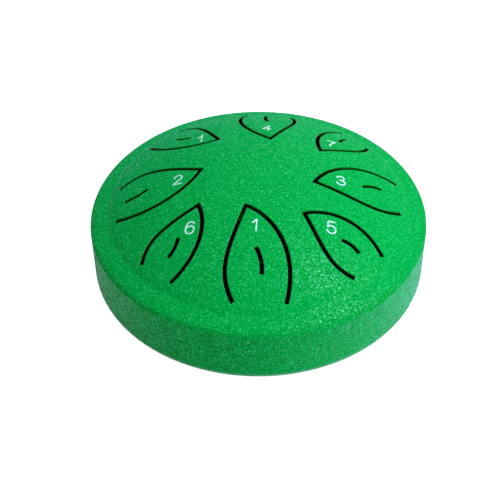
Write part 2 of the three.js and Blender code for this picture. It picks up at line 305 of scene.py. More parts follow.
def softened(corners, steps=5):
    """Closed profile from (radius, height, softening) corners, each turned into a small arc."""
    corners = np.array(corners, float)
    spots = corners[:, :2]
    shifted = np.roll(spots, -1, axis=0)
    if (spots[:, 0] * shifted[:, 1] - shifted[:, 0] * spots[:, 1]).sum() < 0:
        corners = corners[::-1]
    profile = []
    for i, (radius, height, soft) in enumerate(corners):
        spot = np.array([radius, height])
        came = spot - corners[i - 1, :2]
        goes = corners[(i + 1) % len(corners), :2] - spot
        came, goes = came / np.linalg.norm(came), goes / np.linalg.norm(goes)
        turn = math.atan2(came[0] * goes[1] - came[1] * goes[0], came @ goes)
        side = math.copysign(1, turn)
        heading = math.atan2(came[1], came[0])
        start = spot - came * soft * math.tan(abs(turn) / 2)
        centre = start + side * soft * np.array([-came[1], came[0]])
        for angle in np.linspace(heading, heading + turn, steps + 1):
            out = np.array([math.sin(angle), -math.cos(angle)])
            profile.append([*(centre + side * soft * out), *out])
    return profile


def bezier(controls, steps):
    """Points on a Bezier curve of any degree, by repeated shares between its control points."""
    shares = np.linspace(0, 1, steps + 1)[:, None]
    lines = [np.tile(control, (steps + 1, 1)) for control in np.array(controls, float)]
    while len(lines) > 1:
        lines = [start + (end - start) * shares for start, end in zip(lines, lines[1:])]
    return lines[0]


def evenly(line, pitch, first=0.0):
    """The same line with points a pitch apart, after a first straight stretch."""
    steps = np.linalg.norm(np.diff(line, axis=0), axis=1)
    run = np.concatenate([[0], np.cumsum(steps)])
    count = max(2, round((run[-1] - first) / pitch))
    places = np.linspace(first, run[-1], count + 1)
    if first:
        places = np.concatenate([[0], places])
    return np.column_stack([np.interp(places, run, line[:, axis]) for axis in (0, 1)])


def on_drum(tongue, shares):
    """Plan places of points given as shares of a tongue's length and breadth."""
    turn, tip, breadth, lean = tongue[1:5]
    length = dome_edge - ROOT_INSET - tip
    along = tip + length * shares[:, 0]
    across = length * breadth * (shares[:, 1] - lean)
    cos, sin = math.cos(math.radians(turn)), math.sin(math.radians(turn))
    return np.column_stack([along * cos - across * sin, along * sin + across * cos])


def leaf_line(tongue):
    """Middle of the cut that frees a tongue: down one side, round its tip, down the other."""
    full, flat = (
        evenly(on_drum(tongue, bezier(side, LEAF_STEPS)), CUT_PITCH, TIP_REACH)
        for side in (LEAF_FULL_SIDE, LEAF_FLAT_SIDE)
    )
    return np.vstack([full[::-1], flat[1:]])


def slit_line(tongue):
    """Middle of the short slit that tunes a tongue."""
    middle, length = tongue[5:]
    controls = [(middle + (i - 1) * length / 2, across) for i, across in enumerate(SLIT_BOW)]
    return evenly(on_drum(tongue, bezier(controls, SLIT_STEPS)), CUT_PITCH)


def quarter_turn(directions):
    """Plan directions turned a quarter counterclockwise."""
    return np.column_stack([-directions[:, 1], directions[:, 0]])


def ribbon(line, half, reach):
    """Closed outline round a line: half its width to each side, mitred, with square ends."""
    step = np.diff(line, axis=0)
    step /= np.linalg.norm(step, axis=1)[:, None]
    normal_in = quarter_turn(np.vstack([step[:1], step]))
    normal_out = quarter_turn(np.vstack([step, step[-1:]]))
    mitre = (normal_in + normal_out) / (1 + (normal_in * normal_out).sum(1))[:, None]
    middle = line.copy()
    middle[0] -= step[0] * reach
    middle[-1] += step[-1] * reach
    return np.vstack([middle + mitre * half, (middle - mitre * half)[::-1]])


def kerf_cut(line):
    """Outline of a cut along a line, at any distance outside its walls."""
    return lambda grow: ribbon(line, KERF / 2 + grow, grow)[::-1]


def circle(centre, radius, segments):
    """Points of a plan circle, counterclockwise."""
    angles = 2 * math.pi * np.arange(segments) / segments
    return np.array(centre) + radius * np.column_stack([np.cos(angles), np.sin(angles)])


def round_hole(centre, radius, segments):
    """Outline of a drilled hole, at any distance outside its wall."""
    return lambda grow: circle(centre, radius + grow, segments)


def outward(outline):
    """Plan directions away from the inside of a closed outline that runs counterclockwise."""
    step = np.roll(outline, -1, axis=0) - outline
    step /= np.linalg.norm(step, axis=1)[:, None]
    normal = -quarter_turn(step) - quarter_turn(np.roll(step, 1, axis=0))
    return normal / np.linalg.norm(normal, axis=1)[:, None]


def groove(radius):
    """How far the groove along the neck lowers the sheet at these distances from the axis, and
    how fast that depth grows on the way out."""
    width = np.where(radius < GROOVE_RADIUS, -GROOVE_IN, GROOVE_OUT)
    share = np.clip((radius - GROOVE_RADIUS) / width, 0, 1)
    depth = GROOVE_DEPTH * (1 - share**2 * (3 - 2 * share))
    return depth, -GROOVE_DEPTH * 6 * share * (1 - share) / width


def dome_face(inset):
    """The dome's outer face moved in by inset: gives the heights at plan places, and the upward
    directions there."""
    def face(plan):
        radius = np.hypot(*plan.T)
        rise = np.sqrt((dome_radius - inset) ** 2 - radius**2)
        depth, growth = groove(radius)
        lean = 1 / rise + growth / np.maximum(radius, 1)
        up = np.column_stack([plan * lean[:, None], np.ones(len(plan))])
        return dome_centre + rise - depth, up
    return face


def level_face(height):
    """A level face: gives its height at plan places, and the upward directions there."""
    def face(plan):
        return np.full(len(plan), height), np.tile([0.0, 0.0, 1.0], (len(plan), 1))
    return face


def net_points(loops, reach, pitch):
    """Points of an even triangular net inside a radius, kept clear of the given loops."""
    near = KDTree(sum(len(loop) for loop in loops))
    for i, (x, y) in enumerate(np.vstack(loops)):
        near.insert((x, y, 0), i)
    near.balance()
    row = pitch * math.sqrt(3) / 2
    points = []
    for j in range(-int(reach / row), int(reach / row) + 1):
        for i in range(-int(reach / pitch) - 1, int(reach / pitch) + 1):
            spot = ((i + 0.5 * (j % 2)) * pitch, j * row, 0)
            if math.hypot(spot[0], spot[1]) < reach and near.find(spot)[2] > pitch / 2:
                points.append(spot[:2])
    return np.array(points)


def pierced_sheet(skin, faces, borders, cuts, pitch, finishes):
    """Meshes both faces of a sheet and the coated edge of every cut through it.

    faces are its upper and lower face, and finishes theirs. borders are the loops where the sheet
    goes on, the outer one first. The loops of both faces at each border are returned, to join what
    goes on there."""
    mouths = [cut(EDGE_ROUND) for cut in cuts]
    loops = borders + mouths
    reach = np.linalg.norm(borders[0][0])
    plan = np.vstack(loops + [net_points(loops, reach, pitch)])
    starts = np.cumsum([0] + [len(loop) for loop in loops])
    rings = [list(range(start, end)) for start, end in zip(starts, starts[1:])]
    outer, *inner = rings
    edges = [(outer[i - 1], outer[i]) for i in range(len(outer))]
    spots, _, triangles, came_from, _, holes = delaunay_2d_cdt(
        [Vector(spot) for spot in plan], edges, inner, 0, NEAR, True)
    triangles = [list(tri) for tri, hole in zip(triangles, holes) if not hole]
    used = sorted({spot for tri in triangles for spot in tri})
    place = {spot: i for i, spot in enumerate(used)}
    found = {origin: place[spot] for spot in used for origin in came_from[spot]}
    kept = np.array([spots[spot] for spot in used])

    ends = []
    for face, side, finish in zip(faces, (1, -1), finishes):
        skin.finish = finish
        height, up = face(kept)
        index = skin.add(np.column_stack([kept, height]), side * up)
        skin.cover([index[place[spot]] for spot in tri] for tri in triangles)
        ends.append([[index[found[spot]] for spot in ring] for ring in rings])
        skin.finish = INSIDE if finish == INSIDE else CUT_EDGE
        for k in range(1, EDGE_STEPS + 1):
            turn = math.pi / 2 * k / EDGE_STEPS
            for ring, cut in enumerate(cuts, len(borders)):
                outline = cut(EDGE_ROUND * (1 - math.sin(turn)))
                height, up = face(outline)
                height = height - side * EDGE_ROUND * (1 - math.cos(turn))
                away = np.column_stack([outward(outline), np.zeros(len(outline))])
                facing = side * up * math.cos(turn) - away * math.sin(turn)
                loop = skin.add(np.column_stack([outline, height]), facing)
                skin.band(ends[-1][ring], loop)
                ends[-1][ring] = loop
    skin.finish = CUT_WALL
    pairs = list(zip(*ends))
    for upper, lower in pairs[len(borders):]:
        skin.band(upper, lower)
    return pairs[:len(borders)]


def grooved(profile):
    """A face's profile with the neck's groove pressed into it."""
    radius, height, out, up = profile.T
    depth, growth = groove(radius)
    out = out + up * growth
    facing = np.hypot(out, up)
    return np.column_stack([radius, height - depth, out / facing, up / facing])


def cup_skin():
    """The whole drawn cup. The dome's net ends just outside the tongues' roots."""
    rim_bend = RIM_BEND_INSIDE + CUP_SHEET
    rim_centre = (CUP_RADIUS - rim_bend, WALL_FOOT + WALL_HEIGHT)
    neck_reach = dome_radius + NECK_BEND
    neck_centre = (neck_reach * math.sin(dome_slope), dome_centre + neck_reach * math.cos(dome_slope))
    steep, shallow = math.degrees(dome_slope), math.degrees(rim_slope)
    net_edge = dome_edge - NET_INSET
    net_slopes = [math.degrees(math.asin(net_edge / (dome_radius - inset)))
                  for inset in (0, CUP_SHEET)]

    def face(inset):
        """Profile of one face from the net's edge to the top of the wall."""
        hollow = inset > 0
        dome = arc((0, dome_centre), dome_radius - inset, 90 - net_slopes[hollow], 90 - steep,
                   DOME_END_STEPS, hollow)
        neck = arc(neck_centre, NECK_BEND + inset, 270 - steep, 270 - shallow, NECK_STEPS,
                   not hollow)
        rim = arc(rim_centre, rim_bend - inset, 90 - shallow, 0, BEND_STEPS, hollow)
        along = (rim[0] - neck[-1]) / (rim[0][0] - neck[-1][0])
        groove_rest = GROOVE_RADIUS + GROOVE_OUT - neck[-1][0]
        slope = neck[-1] + np.outer(np.linspace(0, groove_rest, GROOVE_STEPS + 1)[1:], along)
        return grooved(np.vstack([dome[1:], neck[1:], slope, rim]))

    lip = np.vstack([
        arc((CUP_RADIUS - WALL_LIP, WALL_FOOT + WALL_LIP), WALL_LIP, 0, -90, LIP_STEPS),
        arc((CUP_RADIUS - CUP_SHEET + WALL_LIP_INSIDE, WALL_FOOT + WALL_LIP_INSIDE), WALL_LIP_INSIDE,
            270, 180, LIP_INSIDE_STEPS),
    ])
    skin = Skin()
    cuts = [kerf_cut(line(tongue)) for tongue in TONGUES for line in (leaf_line, slit_line)]
    border = circle((0, 0), net_edge, CUP_SEGMENTS)
    faces = (dome_face(0), dome_face(CUP_SHEET))
    (outer, inner), = pierced_sheet(skin, faces, [border], cuts, DOME_PITCH, (TOP, INSIDE))
    outer_face, inner_face = face(0), face(CUP_SHEET)[::-1]
    ends = ((DOME_END_STEPS, TOP), (DOME_END_STEPS + NECK_STEPS, NECK), (len(outer_face) - 1, TOP),
            (len(outer_face) + len(lip), WALL), (math.inf, INSIDE))
    profile = np.vstack([outer_face, lip, inner_face])
    loops = [outer] + turn_loops(skin, profile, CUP_SEGMENTS) + [inner]
    for i, (loop, next_loop) in enumerate(zip(loops, loops[1:])):
        skin.finish = next(finish for end, finish in ends if i < end)
        skin.band(loop, next_loop)
    return skin


def plate_skin(foot_places):
    """Base plate: flange turned down, level plate with a hole at each foot, collar turned up."""
    top = plate_high[2] - COLLAR_HEIGHT - COLLAR_BEND_INSIDE
    under = top - PLATE_SHEET
    flange_bend = PLATE_BEND_INSIDE + PLATE_SHEET
    flange_centre = (FLANGE_RADIUS - flange_bend, top - flange_bend)
    collar_bend = COLLAR_BEND_INSIDE + PLATE_SHEET
    collar_centre = (HOLE_RADIUS + collar_bend, top + COLLAR_BEND_INSIDE)
    edge = PLATE_EDGE
    foot, head = plate_low[2], plate_high[2]
    flange = np.vstack([
        arc(flange_centre, flange_bend, 90, 0, BEND_STEPS),
        arc((FLANGE_RADIUS - edge, foot + edge), edge, 0, -90, EDGE_STEPS),
        arc((FLANGE_RADIUS - PLATE_SHEET + edge, foot + edge), edge, 270, 180, EDGE_STEPS),
        arc(flange_centre, PLATE_BEND_INSIDE, 0, 90, BEND_STEPS, True),
    ])
    collar = np.vstack([
        arc(collar_centre, COLLAR_BEND_INSIDE, 270, 180, BEND_STEPS, True),
        arc((HOLE_RADIUS + PLATE_SHEET - edge, head - edge), edge, 0, 90, EDGE_STEPS),
        arc((HOLE_RADIUS + edge, head - edge), edge, 90, 180, EDGE_STEPS),
        arc(collar_centre, collar_bend, 180, 270, BEND_STEPS),
    ])
    skin = Skin()
    borders = [circle((0, 0), radius, PLATE_SEGMENTS)
               for radius in (flange_centre[0] - PLATE_NET_INSET, collar_centre[0] + PLATE_NET_INSET)]
    holes = [round_hole(place, SCREW_HOLE, HOLE_SEGMENTS) for place in foot_places]
    faces = (level_face(top), level_face(under))
    ends = pierced_sheet(skin, faces, borders, holes, PLATE_PITCH, (INSIDE, TOP))
    for (upper, lower), profile in zip(ends, (flange, collar)):
        loops = [upper] + turn_loops(skin, profile, PLATE_SEGMENTS) + [lower]
        for i, (loop, next_loop) in enumerate(zip(loops, loops[1:])):
            skin.finish = INSIDE if i < len(profile) / 2 else TOP
            skin.band(loop, next_loop)
    return skin


def foot_skin(low, high, pocket, pocket_top):
    """Moulded rubber foot, wider at the plate than on the ground, with its screw's pocket."""
    radius = (high[0] - low[0]) / 2
    bore_edge, pocket_edge, pocket_corner, mouth, outer_edge = 0.15, 0.1, 0.3, 0.35, 0.7
    return turned_skin(softened([
        (SCREW_HOLE, high[2], bore_edge),
        (SCREW_HOLE, pocket_top, pocket_edge),
        (pocket, pocket_top, pocket_corner),
        (pocket, low[2], mouth),
        (radius - FOOT_TAPER, low[2], outer_edge),
        (radius, high[2], outer_edge),
    ]), FOOT_SEGMENTS)


def washer_skin(low, high):
    """Flat washer with its stamped edges rounded."""
    radius = (high[0] - low[0]) / 2
    bore_edge, outer_edge = 0.08, 0.12
    return turned_skin(softened([
        (SCREW_HOLE, low[2], bore_edge),
        (radius, low[2], outer_edge),
        (radius, high[2], outer_edge),
        (SCREW_HOLE, high[2], bore_edge),
    ], EDGE_STEPS), FASTENER_SEGMENTS)


def screw_skin(low, high):
    """Pan-head screw with its rolled thread, before the cross is cut in its head."""
    head = (high[0] - low[0]) / 2
    head_top = low[2] + HEAD_HEIGHT
    flat = head * HEAD_FLAT
    rows = [(0, low[2], 0, -1)]
    for turn in np.radians(np.linspace(0, CROWN_TURN, CROWN_POINTS)):
        sin, cos = math.sin(turn), math.cos(turn)
        rows.append((flat + (head - flat) * sin, low[2] + HEAD_CROWN * (1 - cos), sin, -cos))
    rows += [
        (head, low[2] + HEAD_CROWN, 1, 0),
        (head, head_top - HEAD_EDGE, 1, 0),
        (head - HEAD_EDGE, head_top, 0, 1),
        (SCREW_RADIUS, head_top, 0, 1),
    ]
    height = head_top + THREAD_START
    while height < high[2] - THREAD_PITCH:
        for share, depth in THREAD_TURN:
            rows.append((SCREW_RADIUS - depth, height + share * THREAD_PITCH, 1, 0))
        height += THREAD_PITCH
    rows += [
        (SCREW_RADIUS, height, 1, 0),
        (SCREW_RADIUS - THREAD_DEPTH, high[2], 0, 1),
        (0, high[2], 0, 1),
    ]
    return turned_skin(rows, FASTENER_SEGMENTS)


def cross_cutter(head_foot):
    """Tapered cross that a driver fits, from below the head's face up into the head."""
    skin = Skin()
    loops = []
    for rise, arm, half in (CROSS_MOUTH, CROSS_FLOOR):
        corners = np.array([(arm, -half), (arm, half), (half, half)])
        outline = []
        for _ in range(4):
            outline.extend(corners)
            corners = quarter_turn(corners)
        points = np.column_stack([outline, np.full(len(outline), head_foot + rise)])
        loops.append(skin.add(points, np.zeros((len(outline), 3))))
    skin.band(*loops)
    skin.cover(loops)
    return skin


def cut_out(mesh, cutter):
    """The mesh with the cutter taken out of it."""
    pair = [bpy.data.objects.new(part.name, part) for part in (mesh, cutter)]
    for part in pair:
        bpy.context.scene.collection.objects.link(part)
    cut = pair[0].modifiers.new("cut", "BOOLEAN")
    cut.operation, cut.solver, cut.object = "DIFFERENCE", "EXACT", pair[1]
    bpy.context.view_layer.update()
    finished = pair[0].evaluated_get(bpy.context.evaluated_depsgraph_get())
    result = bpy.data.meshes.new_from_object(finished)
    for part in pair:
        bpy.data.objects.remove(part)
    result.name = mesh.name
    result.set_sharp_from_angle(angle=math.radians(SHARP))
    return result


def nut_skin(low, high):
    """Hexagon nut with its corners turned off at both ends and its bore countersunk."""
    flat = (high[1] - low[1]) / 2
    angles = 2 * math.pi * np.arange(FASTENER_SEGMENTS) / FASTENER_SEGMENTS
    around = np.column_stack([np.cos(angles), np.sin(angles)])
    sixth = math.pi / 3
    hexagon = flat / np.cos((angles % sixth) - sixth / 2)
    face = flat * NUT_FACE
    rings = []
    for height, into in ((low[2], 1), (high[2], -1)):
        fall = into * (hexagon - face) * math.tan(NUT_SLOPE)
        rows = [
            (SCREW_HOLE, height + into * NUT_SINK),
            (SCREW_HOLE + NUT_SINK, height),
            (face, height),
            (hexagon, height + fall),
        ]
        rings += rows if into > 0 else rows[::-1]
    skin = Skin()
    loops = []
    for reach, level in rings:
        points = np.empty((len(angles), 3))
        points[:, :2] = around * np.reshape(reach, (-1, 1))
        points[:, 2] = level
        loops.append(skin.add(points, np.zeros_like(points)))
    for loop, next_loop in zip(loops, loops[1:] + loops[:1]):
        skin.band(loop, next_loop)
    return skin


def mesh_from(name, skin, crease=None):
    """Mesh of a skin, in metres, with its faces pointing out. Where the skin knows which way its
    points face, they are shaded so; otherwise edges sharper than crease are shown sharp."""
    mesh = bpy.data.meshes.new(name)
    mesh.from_pydata([Vector(point) * MM for point in skin.points], [], skin.faces)
    mesh.polygons.foreach_set("material_index", skin.finishes)
    shape = bmesh.new()
    shape.from_mesh(mesh)
    bmesh.ops.recalc_face_normals(shape, faces=shape.faces)
    shape.to_mesh(mesh)
    shape.free()
    mesh.shade_smooth()
    if crease is None:
        directions = np.array(skin.directions, float)
        directions /= np.linalg.norm(directions, axis=1)[:, None]
        mesh.normals_split_custom_set_from_vertices([Vector(direction) for direction in directions])
    else:
        mesh.set_sharp_from_angle(angle=math.radians(crease))
    mesh.validate()
    return mesh


def stroke_outline(curves, half):
    """Closed outline of a printed line with round ends."""
    line = np.vstack([bezier(curve, STROKE_STEPS)[i > 0:] for i, curve in enumerate(curves)])
    step = np.diff(line, axis=0)
    step /= np.linalg.norm(step, axis=1)[:, None]
    side = quarter_turn(np.vstack([step[:1], step]) + np.vstack([step, step[-1:]]))
    side *= half / np.linalg.norm(side, axis=1)[:, None]
    turns = np.radians(STROKE_END)
    caps = [[line[end] + along * math.sin(turn) + side[end] * flip * math.cos(turn) for turn in turns]
            for end, along, flip in ((-1, step[-1] * half, 1), (0, -step[0] * half, -1))]
    return np.vstack([line + side, caps[0], (line - side)[::-1], caps[1]])[::-1]


def numeral_skin(name):
    """One printed numeral: its strokes laid together as one film that follows the dome."""
    outlines = [stroke_outline(curves, STROKE / 2) for curves in STROKES[name]]
    if name == "high_one":
        stem = ONE[1][0][0][0]
        outlines.append(circle((stem, DOT_RISE), DOT_RADIUS, DOT_SEGMENTS))
    x, y, turn = NUMERAL_PLACES[name]
    cos, sin = math.cos(math.radians(turn)), math.sin(math.radians(turn))
    plan = np.vstack(outlines) @ np.array([(cos, sin), (-sin, cos)]) + (x, y)
    starts = np.cumsum([0] + [len(outline) for outline in outlines])
    rings = [list(range(start, end)) for start, end in zip(starts, starts[1:])]
    spots, _, triangles, _, _, inside = delaunay_2d_cdt(
        [Vector(spot) for spot in plan], [], rings, 0, NEAR, True)
    triangles = [tri for tri, strokes in zip(triangles, inside) if strokes]
    used = sorted({spot for tri in triangles for spot in tri})
    place = {spot: i for i, spot in enumerate(used)}
    kept = np.array([spots[spot] for spot in used])
    coat = dome_face(0)(kept)[0]
    skin = Skin()
    upper, lower = (skin.add(np.column_stack([kept, coat + rise]), np.zeros((len(kept), 3)))
                    for rise in (INK, -INK_BITE))
    sides = {}
    for tri in triangles:
        skin.cover([[upper[place[spot]] for spot in tri],
                    [lower[place[spot]] for spot in reversed(tri)]])
        for pair in zip(tri, tri[1:] + tri[:1]):
            sides[frozenset(pair)] = None if frozenset(pair) in sides else pair
    for pair in filter(None, sides.values()):
        start, end = (place[spot] for spot in pair)
        skin.cover([(upper[end], upper[start], lower[start], lower[end])])
    return skin


def place_piece(name, mesh, finishes, plan=(0, 0), stands_for=None):
    """Puts a mesh into the drum as a piece that rides on it, with one finish or several."""
    piece = bpy.data.objects.new(name, mesh)
    bpy.context.scene.collection.objects.link(piece)
    piece.location = (plan[0] * MM, plan[1] * MM, 0)
    chosen = [polygon.material_index for polygon in mesh.polygons]
    mesh.materials.clear()
    for finish in finishes:
        mesh.materials.append(finish)
    mesh.polygons.foreach_set("material_index", chosen)
    if stands_for:
        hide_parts(stands_for)
    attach(piece, "root")


def add_node(tree, kind, inputs=None, **settings):
    """Adds a shader node with its settings, and gives its inputs values or links them."""
    node = tree.nodes.new(kind)
    for name, value in settings.items():
        setattr(node, name, value)
    for name, value in (inputs or {}).items():
        if isinstance(value, bpy.types.NodeSocket):
            tree.links.new(value, node.inputs[name])
        else:
            node.inputs[name].default_value = value
    return node


def blend_values(tree, share, start, end):
    """A value between two. A mix node takes its values at 2 and 3."""
    return add_node(tree, "ShaderNodeMix", {0: share, 2: start, 3: end}).outputs[0]


def blend_colours(tree, share, start, end):
    """A colour between two. A mix node takes its colours at 6 and 7."""
    mix = add_node(tree, "ShaderNodeMix", {0: share, 6: start, 7: end}, data_type="RGBA")
    return mix.outputs[2]


def between(tree, value, low, high, start=0.0, end=1.0):
    """The value's place between low and high, carried over to start and end, and no further."""
    bounds = {"From Min": low, "From Max": high, "To Min": start, "To Max": end}
    return add_node(tree, "ShaderNodeMapRange", {"Value": value, **bounds}).outputs[0]


def calculate(tree, operation, *values):
    """One step of arithmetic in a shader."""
    inputs = dict(enumerate(values))
    return add_node(tree, "ShaderNodeMath", inputs, operation=operation).outputs[0]


def srgb(red, green, blue):
    """A colour as a screen shows it, 0 to 255, in the shader's linear values."""
    def linear(value):
        value /= 255
        return value / 12.92 if value <= 0.04045 else ((value + 0.055) / 1.055) ** 2.4
    return (linear(red), linear(green), linear(blue), 1)


# Powder coat
TOP_GREENS = (srgb(0, 150, 39), srgb(0, 187, 72))  # between its grains, and on them
WALL_GREENS = (srgb(0, 130, 35), srgb(0, 198, 85))
THICK_GREEN = srgb(0, 172, 64)
# Painted shade: a darker, yellower band along the rim's bend
BEND_SHADE_GREEN = srgb(0, 146, 40)
# Painted reflection of the pale floor along the wall's lip
LIP_REFLECTION_GREEN = srgb(120, 190, 150)
FLECK_GREEN = srgb(0, 197, 118)
BEND_MIDDLE = WALL_FOOT + WALL_HEIGHT + 1.6  # height of the rim bend's middle
BEND_SHADE_FROM, BEND_SHADE_TO = 0.4, 1.5  # distances from it where the bend's painted shade starts to fade, and is gone
LIP_REFLECTION_FROM, LIP_REFLECTION_TO = WALL_FOOT + 0.6, WALL_FOOT + 2  # heights where the lip's painted reflection does so


def surface_grain():
    """Grain of a coat, a moulding or a rolled sheet, for any finish: its height, its highest
    specks, and the broad patches where it lies a little thicker."""
    tree = bpy.data.node_groups.new("surface grain", "ShaderNodeTree")
    for side, names in (("INPUT", ("Grains per metre", "Coarse share", "Patches per metre")),
                        ("OUTPUT", ("Height", "Specks", "Patches"))):
        for name in names:
            tree.interface.new_socket(name=name, in_out=side, socket_type="NodeSocketFloat")
    given = add_node(tree, "NodeGroupInput").outputs
    spot = add_node(tree, "ShaderNodeTexCoord").outputs["Object"]
    coarse_scale = calculate(tree, "MULTIPLY", given["Grains per metre"], 0.45)

    def noise(scale, detail):
        inputs = {"Vector": spot, "Scale": scale, "Detail": detail}
        return add_node(tree, "ShaderNodeTexNoise", inputs).outputs["Fac"]

    fine, coarse = noise(given["Grains per metre"], 2.0), noise(coarse_scale, 1.0)
    patches = noise(given["Patches per metre"], 3.0)
    height = blend_values(tree, given["Coarse share"], fine, coarse)
    specks = between(tree, height, 0.6, 0.72)
    add_node(tree, "NodeGroupOutput", {"Height": height, "Specks": specks, "Patches": patches})
    return tree


GRAIN = surface_grain()


def new_finish(name, grains, coarse, patches, **constants):
    """A material with a shader, its constant values, and the grain group with its own inputs:
    grains and patches per metre, and the share of the coarse grains."""
    material = bpy.data.materials.new(name)
    material.use_nodes = True
    tree = material.node_tree
    shader = tree.nodes["Principled BSDF"]
    for socket, value in constants.items():
        shader.inputs[socket.replace("_", " ")].default_value = value
    group = add_node(tree, "ShaderNodeGroup", {
        "Grains per metre": grains, "Coarse share": coarse, "Patches per metre": patches,
    }, node_tree=GRAIN)
    return material, tree, shader, group.outputs


def set_surface(tree, shader, colour, roughness, height, depth):
    """Feeds a shader its colour, its roughness and the bump of a grain this many metres deep."""
    bump = add_node(tree, "ShaderNodeBump", {"Strength": 1.0, "Distance": depth, "Height": height})
    for socket, source in (("Base Color", colour), ("Roughness", roughness),
                           ("Normal", bump.outputs[0])):
        tree.links.new(source, shader.inputs[socket])


def powder_coat(name, grains, depth, greens, gloss, **shine):
    """Sandy green powder coat: darker and yellower between its grains, with metal flecks on their
    tops, and with a clear gloss that has one weight between them and one on their tops. The coat
    lies thick in patches. A darker, yellower band of painted shade follows the rim's bend, and a
    pale band of painted reflection follows the wall's lip."""
    material, tree, shader, spread = new_finish(
        name, grains, coarse=0.35, patches=40.0, Specular_IOR_Level=0.005, Coat_Roughness=0.3,
        **shine)
    colour = blend_colours(tree, between(tree, spread["Height"], 0.36, 0.6), *greens)
    thicker = between(tree, spread["Patches"], 0.35, 0.65, 0.0, 0.35)
    colour = blend_colours(tree, thicker, colour, THICK_GREEN)

    spot = add_node(tree, "ShaderNodeTexCoord").outputs["Object"]
    above_ground = add_node(tree, "ShaderNodeSeparateXYZ", {0: spot}).outputs["Z"]
    # Painted shade along the rim's bend, fading within a short height of its middle
    off_bend = calculate(tree, "ABSOLUTE", calculate(tree, "SUBTRACT", above_ground, BEND_MIDDLE * MM))
    bend_shade = between(tree, off_bend, BEND_SHADE_FROM * MM, BEND_SHADE_TO * MM, 0.4, 0.0)
    colour = blend_colours(tree, bend_shade, colour, BEND_SHADE_GREEN)
    # Painted reflection: the wall's lip is paled as if it mirrored the floor
    lip = between(tree, above_ground, LIP_REFLECTION_FROM * MM, LIP_REFLECTION_TO * MM, 0.8, 0.0)
    colour = blend_colours(tree, lip, colour, LIP_REFLECTION_GREEN)

    flecks = between(tree, spread["Height"], 0.53, 0.66)
    colour = blend_colours(tree, between(tree, flecks, 0, 1, 0.0, 0.65), colour, FLECK_GREEN)
    roughness = blend_values(tree, flecks, 0.75, 0.4)
    set_surface(tree, shader, colour, roughness, spread["Height"], depth)
    for (low, high), socket in (((0.0, 0.25), "Metallic"), (gloss, "Coat Weight")):
        tree.links.new(between(tree, flecks, 0, 1, low, high), shader.inputs[socket])
    return material


def thin_coat_painted_shade(name, low, high):
    """Thin dull coat in the cuts and inside the drum, its dark colour painted shade of the narrow cuts
    and the closed drum.
    """
    material, tree, shader, spread = new_finish(
        name, grains=1900.0, coarse=0.35, patches=60.0, Specular_IOR_Level=0.1)
    colour = blend_colours(tree, spread["Patches"], low, high)
    roughness = between(tree, spread["Height"], 0.35, 0.65, 0.8, 0.6)
    set_surface(tree, shader, colour, roughness, spread["Height"], depth=0.0002)
    return material


def moulded_rubber():
    """Black rubber, dull from its mould, with a little pale dust on its highest specks."""
    material, tree, shader, spread = new_finish(
        "moulded_rubber", grains=2600.0, coarse=0.5, patches=180.0, Specular_IOR_Level=0.3)
    colour = blend_colours(tree, spread["Patches"], srgb(22, 22, 23), srgb(40, 40, 41))
    dust = between(tree, spread["Specks"], 0, 1, 0.0, 0.25)
    colour = blend_colours(tree, dust, colour, srgb(90, 90, 90))
    roughness = between(tree, spread["Patches"], 0.3, 0.7, 0.75, 0.9)
    set_surface(tree, shader, colour, roughness, spread["Height"], depth=0.00008)
    return material


def zinc_plate():
    """Bright zinc with the faint straw and blue clouds of its passivation."""
    material, tree, shader, spread = new_finish(
        "zinc_plate", grains=3500.0, coarse=0.3, patches=420.0, Metallic=1.0)
    clouds = between(tree, spread["Patches"], 0.35, 0.65)
    colour = blend_colours(tree, clouds, srgb(196, 200, 206), srgb(212, 206, 188))
    roughness = between(tree, spread["Height"], 0.3, 0.7, 0.28, 0.45)
    set_surface(tree, shader, colour, roughness, spread["Height"], depth=0.00002)
    return material


def white_ink():
    """Pad-printed white, thinner where the coat's grain falls away under it."""
    material, tree, shader, spread = new_finish(
        "white_ink", grains=1150.0, coarse=0.4, patches=600.0, Specular_IOR_Level=0.25)
    cover = between(tree, spread["Height"], 0.32, 0.46)
    colour = blend_colours(tree, cover, srgb(120, 215, 165), srgb(205, 246, 228))
    roughness = between(tree, spread["Patches"], 0.3, 0.7, 0.5, 0.65)
    set_surface(tree, shader, colour, roughness, spread["Height"], depth=0.0002)
    return material


def place_foot(number, box, plan, rubber, zinc):
    """Puts one rubber foot into the drum, with its washer, screw and nut."""
    washer, screw, nut = (span(f"foot_{part}_{number}") for part in ("washer", "screw", "nut"))
    pocket = (washer[1][0] - washer[0][0]) / 2 + POCKET_FIT
    foot = foot_skin(*box, pocket, washer[1][2] + POCKET_OVER)
    blank = mesh_from("screw", screw_skin(*screw), SHARP)
    cross = mesh_from("cross", cross_cutter(screw[0][2]), SHARP)
    for part, mesh, finish, slot, node in (
        ("rubber_foot", mesh_from("rubber_foot", foot), rubber, "foot_rubber", "foot"),
        ("washer", mesh_from("washer", washer_skin(*washer)), zinc, "zinc_steel", "foot_washer"),
        ("screw", cut_out(blank, cross), zinc, "zinc_steel", "foot_screw"),
        ("nut", mesh_from("nut", nut_skin(*nut), SHARP), zinc, "zinc_steel", "foot_nut"),
    ):
        place_piece(f"{part}_{number}", mesh, [finish], plan, f"{node}_{number}")


